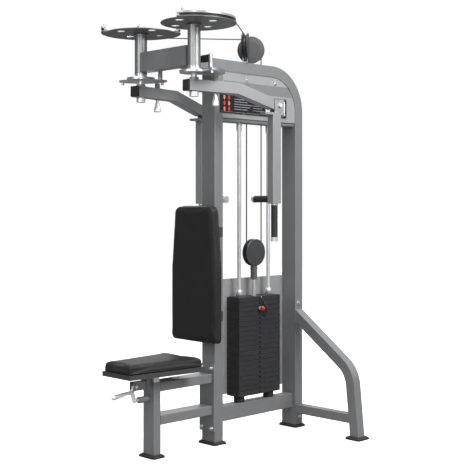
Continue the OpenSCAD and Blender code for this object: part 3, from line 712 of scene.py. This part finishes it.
def selector_pin():
    """Round red knob with flutes, and a plated shaft with a turned collar."""
    low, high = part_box("selector_pin")
    y, z = (low.y + high.y) / 2, (low.z + high.z) / 2
    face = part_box("top_plate")[1].x
    knob_start = face + 0.0085
    knob = high.x - knob_start
    profile = [(0.0, 0.0), (0.0075, 0.0), (0.0085, 0.0015)]
    for k in range(1, 13):
        t = k / 13
        bulge = math.sin(math.pi * min(1.0, t * 1.12)) ** 0.8
        profile.append((0.0085 + 0.0062 * bulge, 0.0015 + (knob - 0.0035) * t))
    profile += [(0.0075, knob - 0.0012), (0.0045, knob), (0.0, knob)]
    piece = lathe("pin_knob", profile, frame_at((knob_start, y, z), (1, 0, 0)),
                  "red_knob", "pin_unit")
    for vertex in piece.data.vertices:
        off = Vector((0.0, vertex.co.y - y, vertex.co.z - z))
        if off.length > 0.011:
            turn = math.atan2(off.z, off.y)
            vertex.co -= off.normalized() * 0.0007 * (0.5 + 0.5 * math.cos(12 * turn))
    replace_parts(piece, "selector_pin")
    shaft = [(0.0, low.x), (0.0042, low.x), (0.005, low.x + 0.0015), (0.005, face + 0.0006),
             (0.009, face + 0.0006), (0.009, face + 0.004), (0.0078, face + 0.0052),
             (0.0078, knob_start), (0.0, knob_start)]
    lathe("pin_shaft", shaft, frame_at((0, y, z), (1, 0, 0)), "chrome", "pin_unit", steps=32)


def curly_lead():
    """Coiled lead from an eye on the top plate to the neck of the knob."""
    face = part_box("top_plate")[1]
    low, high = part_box("selector_pin")
    y, z = (low.y + high.y) / 2, (low.z + high.z) / 2
    x = face.x + 0.008
    route = smooth_path([(face.x + 0.003, y + 0.010, face.z - 0.040), (x, y + 0.020, z + 0.036),
                         (x, y + 0.036, z + 0.014), (x, y + 0.050, z - 0.008), (x, y + 0.048, z - 0.034),
                         (x, y + 0.032, z - 0.040), (x, y + 0.026, z - 0.022), (x, y + 0.024, z - 0.006),
                         (x - 0.001, y + 0.009, z)], 40)
    coil, turns = 0.0042, 34
    points = []
    side = Vector((1.0, 0.0, 0.0))
    for i, point in enumerate(route):
        ahead = route[min(i + 1, len(route) - 1)] - route[max(i - 1, 0)]
        along = ahead.normalized()
        side = (side - along * side.dot(along)).normalized()
        lift = along.cross(side)
        t = i / (len(route) - 1)
        ease = min(1.0, 12 * t, 12 * (1 - t))
        angle = 2 * math.pi * turns * t
        points.append(point + coil * ease * (math.cos(angle) * side + math.sin(angle) * lift))
    lead = tube_piece("curly_lead", [points], 0.0011, "cable_jacket", None, sides=6)
    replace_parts(lead, "pin_lanyard")
    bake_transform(lead)
    eye = [(0.0, 0.0), (0.005, 0.0), (0.005, 0.002), (0.0034, 0.0035), (0.0, 0.0038)]
    lathe("lead_rivet", eye, frame_at((face.x, y + 0.010, face.z - 0.040), (1, 0, 0)),
          "zinc", "stack", steps=20)


def rod_sleeves():
    """Plated sleeves around the guide bosses of the top plate."""
    rods = sorted(islands("guide_rods"), key=lambda points: points[:, 1].mean())
    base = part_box("selector_stem")[1].z
    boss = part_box("top_plate")[1].z - base
    bore, inner, outer = 0.0108, 0.0151, 0.0172
    profile = [(inner, 0.0), (outer, 0.0), (outer, boss + 0.0008), (outer - 0.001, boss + 0.0018),
               (bore, boss + 0.0018), (bore, boss + 0.0004), (inner, boss + 0.0004), (inner, 0.0)]
    for name, points in zip(("front", "rear"), rods):
        centre = points.mean(0)
        lathe(f"{name}_rod_sleeve", profile, frame_at((centre[0], centre[1], base + 0.0005), (0, 0, 1)),
              "chrome", "stack", steps=40)


def capsule(bm, start, end, r1, r2, squash, rings=8, sides=16):
    """A tapered bar with round ends, flattened along X by squash."""
    a, b = Vector(start), Vector(end)
    along = (b - a).normalized()
    side = Vector((1.0, 0.0, 0.0))
    lift = along.cross(side).normalized()
    levels = [(a - along * r1 * math.cos(t), r1 * math.sin(t))
              for t in (math.pi / 2 * k / rings for k in range(1, rings + 1))]
    levels += [(b + along * r2 * math.sin(t), r2 * math.cos(t))
               for t in (math.pi / 2 * k / rings for k in range(rings))]
    loops = [[bm.verts.new(c + r * (squash * math.cos(2 * math.pi * i / sides) * side
                                    + math.sin(2 * math.pi * i / sides) * lift)) for i in range(sides)]
             for c, r in levels]
    for p, q in zip(loops, loops[1:]):
        for i in range(sides):
            bm.faces.new((p[i], p[(i + 1) % sides], q[(i + 1) % sides], q[i]))
    bm.faces.new(list(reversed(loops[0])))
    bm.faces.new(loops[-1])


def cast_lever():
    """Cast three-lobed lever with a flat paddle, blended from tapered bars, and its pivot bolt."""
    low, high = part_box("seat_lever")
    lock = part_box("lock_pin")
    pivot = Vector((0.0, high.y - 0.012, high.z - 0.012))
    fork = pivot + Vector((0.0, -0.014, -0.030))
    lock_end = (0.0, pivot.y, (lock[0].z + lock[1].z) / 2)
    neck = (0.0, low.y + 0.100, pivot.z - 0.028)
    paddle = (0.0, low.y + 0.016, pivot.z - 0.040)
    bm = bmesh.new()
    capsule(bm, pivot, fork, 0.0125, 0.0115, 0.6)
    capsule(bm, fork, lock_end, 0.0115, 0.0125, 0.6)
    capsule(bm, fork, neck, 0.0115, 0.0085, 0.75)
    capsule(bm, neck, paddle, 0.0085, 0.0130, 1.05)
    mesh = bpy.data.meshes.new("cast_lever")
    bm.to_mesh(mesh)
    bm.free()
    obj = bpy.data.objects.new("cast_lever", mesh)
    SCENE.collection.objects.link(obj)
    remesh = obj.modifiers.new("remesh", "REMESH")
    remesh.mode = "VOXEL"
    remesh.voxel_size = 0.0016
    smooth = obj.modifiers.new("smooth", "SMOOTH")
    smooth.factor = 0.5
    smooth.iterations = 8
    final = modified_mesh(obj)
    bpy.data.objects.remove(obj)
    piece = finish_piece("cast_lever", final, "chrome", "lever_unit")
    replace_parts(piece, "seat_lever")
    half = 0.0168
    bolt = [(0.0, 0.0), (0.0092, 0.0), (0.0092, 0.0035), (0.0070, 0.0058), (0.0, 0.0065)]
    for name, way in (("right", 1), ("left", -1)):
        lathe(f"lever_bolt_{name}", bolt, frame_at((way * half, pivot.y, pivot.z), (way, 0, 0)),
              "chrome", "lever_unit", steps=28)
    barrel = [(0.0, -half), (0.0058, -half), (0.0058, half), (0.0, half)]
    lathe("lever_barrel", barrel, frame_at(pivot, (1, 0, 0)), "chrome", "lever_unit", steps=28)


def arm_buffers():
    """Ribbed rubber buffer on the end of each arm, where the handle's yoke swings."""
    for side, name in ((1, "right"), (-1, "left")):
        start = arm_point(side, 0.0, ARM_END, ARM_HEIGHT)
        axis = arm_point(side, 0.0, 1.0, 0.0) - arm_point(side, 0.0, 0.0, 0.0)
        profile = [(0.0, 0.0)]
        for i in range(3):
            z = 0.0055 * i
            profile += [(0.0105, z), (0.0118, z + 0.0012), (0.0118, z + 0.0036), (0.0095, z + 0.0048)]
        profile += [(0.0085, 0.0175), (0.0, 0.0185)]
        lathe(name + "_arm_buffer", profile, frame_at(start, axis),
              "rubber", name + "_arm_unit", steps=32)


# ---------- soft parts ----------

def corner_arc(corners, index, radius, steps=6):
    """The arc that rounds one corner of an outline, as points."""
    here = Vector(corners[index])
    a = (Vector(corners[index - 1]) - here).normalized()
    b = (Vector(corners[(index + 1) % len(corners)]) - here).normalized()
    half = a.angle(b) / 2
    centre = here + (a + b).normalized() * (radius / math.sin(half))
    start = here + a * (radius / math.tan(half)) - centre
    turn = math.pi - 2 * half
    spin = 1 if a.x * b.y - a.y * b.x < 0 else -1
    arc = []
    for k in range(steps + 1):
        angle = spin * turn * k / steps
        arc.append(centre + Vector((start.x * math.cos(angle) - start.y * math.sin(angle),
                                    start.x * math.sin(angle) + start.y * math.cos(angle))))
    return arc


def rounded_outline(corners, radii):
    """Corner points with each corner replaced by an arc of its radius."""
    return [p for i, radius in enumerate(radii) for p in corner_arc(corners, i, radius)]


def pad_block(name, outline, low, high, side, place):
    """A closed block over the outline with its upper edge rounded by side."""
    bm = bmesh.new()
    centre = sum((Vector(p) for p in outline), Vector((0.0, 0.0))) / len(outline)
    levels = [(0.0, low)]
    for k in range(7):
        angle = math.pi / 2 * k / 6
        levels.append((side * (1 - math.cos(angle)), high - side + side * math.sin(angle)))
    rings = []
    for inset, z in levels:
        ring = []
        for p in outline:
            reach = (Vector(p) - centre).length
            spot = centre + (Vector(p) - centre) * (1 - inset / reach)
            ring.append(bm.verts.new((spot.x, spot.y, z)))
        rings.append(ring)
    for a, b in zip(rings, rings[1:]):
        for i in range(len(a)):
            j = (i + 1) % len(a)
            bm.faces.new((a[i], a[j], b[j], b[i]))
    bm.faces.new(list(reversed(rings[0])))
    bm.faces.new(rings[-1])
    mesh = bpy.data.meshes.new(name)
    bm.to_mesh(mesh)
    bm.free()
    mesh.transform(place)
    obj = bpy.data.objects.new(name, mesh)
    SCENE.collection.objects.link(obj)
    return obj


def modified_mesh(obj):
    """The object's mesh with its modifiers applied."""
    graph = bpy.context.evaluated_depsgraph_get()
    graph.update()
    return bpy.data.meshes.new_from_object(obj.evaluated_get(graph))


def stuff(obj, base_test, cap):
    """Swells a block by cloth simulation, with its base held and no point moving more than cap."""
    remesh = obj.modifiers.new("remesh", "REMESH")
    remesh.mode = "VOXEL"
    remesh.voxel_size = PAD_VOXEL
    mesh = modified_mesh(obj)
    obj.modifiers.clear()
    obj.data = mesh
    rest = [v.co.copy() for v in mesh.vertices]
    held = obj.vertex_groups.new(name="held")
    held.add([v.index for v in mesh.vertices if base_test(v.co)], 1.0, "REPLACE")
    cloth = obj.modifiers.new("cloth", "CLOTH")
    settings = cloth.settings
    settings.quality = 6
    settings.mass = 0.3
    settings.tension_stiffness = 25.0
    settings.compression_stiffness = 25.0
    settings.shear_stiffness = 12.0
    settings.bending_stiffness = 2.0
    settings.use_pressure = True
    settings.uniform_pressure_force = CLOTH_PRESSURE
    settings.vertex_group_mass = "held"
    settings.effector_weights.gravity = 0.0
    cloth.collision_settings.use_collision = False
    cloth.point_cache.frame_start = 1
    cloth.point_cache.frame_end = CLOTH_FRAMES
    for step in range(1, CLOTH_FRAMES + 1):
        SCENE.frame_set(step)
    swollen = modified_mesh(obj)
    obj.modifiers.clear()
    obj.vertex_groups.clear()
    for vertex, start in zip(swollen.vertices, rest):
        move = vertex.co - start
        if move.length > cap:
            move *= cap / move.length
        vertex.co = start + move
    obj.data = swollen
    SCENE.frame_set(1)
    smooth = obj.modifiers.new("smooth", "SMOOTH")
    smooth.factor = 0.5
    smooth.iterations = 4
    subdivide = obj.modifiers.new("subdivide", "SUBSURF")
    subdivide.levels = 1
    subdivide.render_levels = 1
    final = modified_mesh(obj)
    obj.modifiers.clear()
    obj.data = final


def sew_groove(mesh, height_of, level, depth, inward, half_width=0.0022):
    """Pulls a sewn seam into the mesh where height_of crosses level."""
    for vertex in mesh.vertices:
        off = abs(height_of(vertex.co) - level)
        if off < 2 * half_width:
            vertex.co += inward(vertex.co) * depth * math.exp(-(off / half_width) ** 2)


def seat_cushion():
    """Tapered seat cushion with a sewn groove above its base."""
    low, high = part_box("seat_cushion")
    points = np.vstack(islands("seat_cushion"))
    inset, side, corner = 0.0005, 0.007, 0.014
    front = points[points[:, 1] < low.y + 0.001][:, 0].max() - inset
    rear = points[points[:, 1] > high.y - 0.001][:, 0].max() - inset
    corners = [(-front, low.y + inset), (front, low.y + inset),
               (rear, high.y - inset), (-rear, high.y - inset)]
    outline = rounded_outline(corners, [corner] * 4)
    obj = pad_block("seat_pad", outline, low.z + 0.0005, high.z - 0.0015, side, Matrix.Identity(4))
    stuff(obj, lambda co: co.z < low.z + 0.006, 0.006)
    middle = (low.y + high.y) / 2
    sew_groove(obj.data, lambda co: co.z, low.z + 0.010, 0.0014,
               lambda co: (Vector((0.0, middle, co.z)) - co).normalized())
    upholstered(obj, "seat_cushion", "seat")


def back_pad():
    """Tall back pad, narrower towards the top, with a sewn groove in front of its board."""
    low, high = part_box("back_pad")
    half, top = (high.x - low.x) / 2 - 0.004, PAD_TOP_HALF
    foot, shoulder, head = low.z + 0.003, low.z + PAD_SHOULDER, high.z - 0.003
    corners = [(-half, foot), (half, foot), (half, shoulder), (top, head), (-top, head), (-half, shoulder)]
    outline = rounded_outline(corners, (0.030, 0.030, 0.12, 0.040, 0.040, 0.12))
    depth = high.y - low.y
    place = Matrix.Translation((0.0, high.y - 0.0005, 0.0)) @ Matrix.Rotation(math.radians(90), 4, "X")
    obj = pad_block("back_cushion", outline, 0.0, depth - 0.004, 0.009, place)
    stuff(obj, lambda co: co.y > high.y - 0.006, 0.005)
    middle = (low.z + high.z) / 2
    sew_groove(obj.data, lambda co: co.y, high.y - 0.010, 0.0016,
               lambda co: (Vector((0.0, co.y, middle)) - co).normalized())
    upholstered(obj, "back_pad", "frame")


def upholstered(obj, node, body):
    """Gives a finished pad its vinyl and its body, in place of the CAD node."""
    obj.data.materials.clear()
    obj.data.materials.append(MATS["upholstery"])
    for face in obj.data.polygons:
        face.use_smooth = True
    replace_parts(obj, node)
    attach(obj, body)


def add_floor():
    mesh = bpy.data.meshes.new("floor")
    mesh.from_pydata([(-12, -12, 0), (12, -12, 0), (12, 12, 0), (-12, 12, 0)], [], [(0, 1, 2, 3)])
    mesh.materials.append(pale_floor())
    floor = bpy.data.objects.new("floor", mesh)
    SCENE.collection.objects.link(floor)


# ---------- main ----------

add_camera()
add_world()
area_light("key", (3.8, 0.6, 4.0), (0.0, 0.1, 1.5), (2.2, 2.2), 225.0)
area_light("overhead", (0.6, -0.4, 4.6), (0.0, 0.1, 0.9), (2.0, 2.0), 95.0)
area_light("front", (0.6, -5.0, 3.0), (0.0, 0.0, 1.1), (2.5, 2.5), 62.0)
area_light("strip", (4.4, -4.2, 2.6), (0.0, 0.0, 1.4), (0.35, 3.0), 60.0)
area_light("rear", (-3.5, 3.5, 3.5), (0.0, 0.0, 1.2), (2.5, 2.5), 60.0)
add_floor()

MATS = paint_nodes()
seat_cushion()
back_pad()
bolts()
grips()
drop_cables()
selector_pin()
curly_lead()
rod_sleeves()
cast_lever()
arm_buffers()
